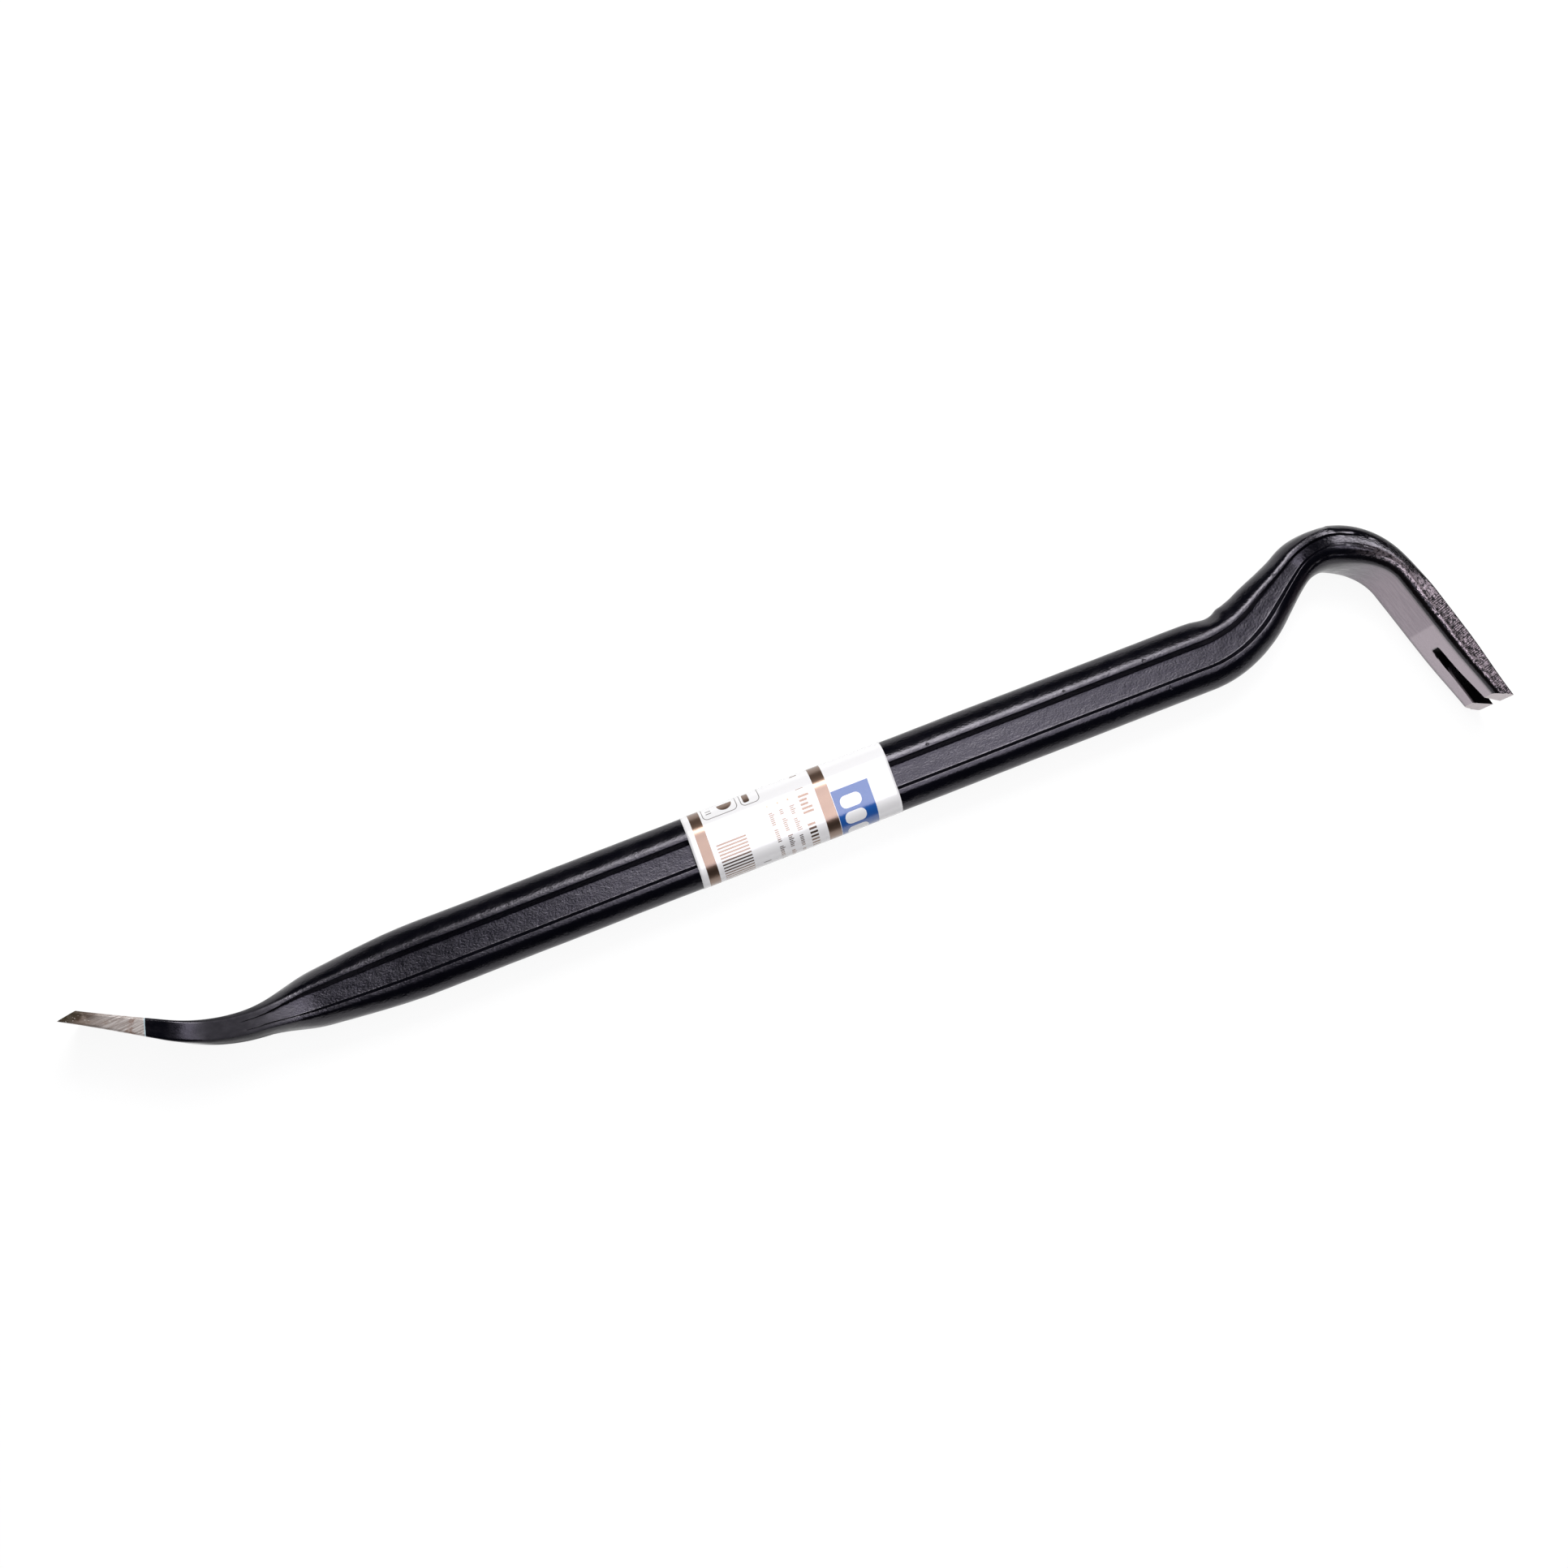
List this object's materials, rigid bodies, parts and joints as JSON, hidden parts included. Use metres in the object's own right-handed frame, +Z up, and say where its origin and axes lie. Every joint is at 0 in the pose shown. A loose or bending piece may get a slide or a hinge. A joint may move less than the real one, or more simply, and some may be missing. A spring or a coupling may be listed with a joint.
{
  "type": "crowbar",
  "caption": "Forged steel crowbar: oval shank with a channel down each broad side, bent chisel blade, goosenecked claw with a nail slot, and a label sleeve.",
  "frame": {"origin": "middle of the base: the centre of the bounding box in X and Y, on the surface that the bar lies on", "axes": "+X along the shank from the blade to the claw, +Y the way the gooseneck rises, +Z up, square to the plane in which the bar is bent"},
  "size_m": [0.6014, 0.0976, 0.0415],
  "materials": {
    "lacquered_steel": "black lacquer over forging scale, semi gloss; bare ground steel at the chisel tip",
    "label_film": "glossy printed film"
  },
  "bodies": {
    "root": {"forged_bar": "lacquered_steel", "label_sleeve": "label_film"}
  },
  "joints": []
}
